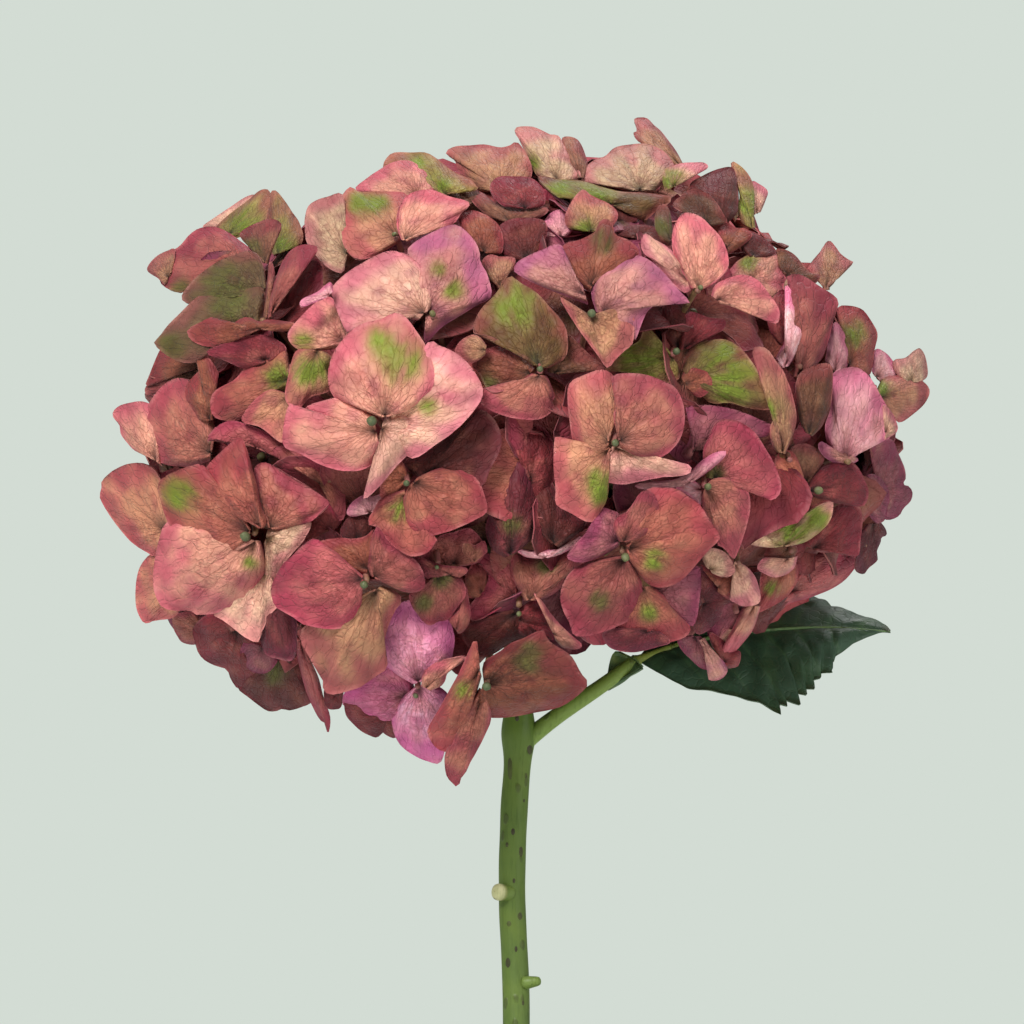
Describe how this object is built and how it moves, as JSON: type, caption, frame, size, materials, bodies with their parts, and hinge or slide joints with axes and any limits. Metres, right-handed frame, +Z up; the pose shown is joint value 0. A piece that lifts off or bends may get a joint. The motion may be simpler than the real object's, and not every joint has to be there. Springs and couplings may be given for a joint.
{
  "type": "hydrangea in a jar",
  "caption": "Cut mophead hydrangea with broad pink and green sepals on one leafy stem, standing in a plain clear glass jar of water",
  "frame": {"origin": "centre of the jar's flat underside", "axes": "+Z up the stem, the flower's best side faces -Y, the leaf spreads towards +X"},
  "size_m": [0.1817, 0.1695, 0.3396],
  "materials": {
    "jar_glass": "clear gloss",
    "water": "clear still water",
    "stem_green": "green bark with dark lenticels",
    "leaf_green": "matte, pale veins",
    "sepals": "matte papery sepals, salmon and rose with green patches"
  },
  "bodies": {
    "root": {"jar": "jar_glass", "water": "water", "stem": "stem_green", "leaf": "leaf_green", "flower_head": "sepals"}
  },
  "joints": []
}
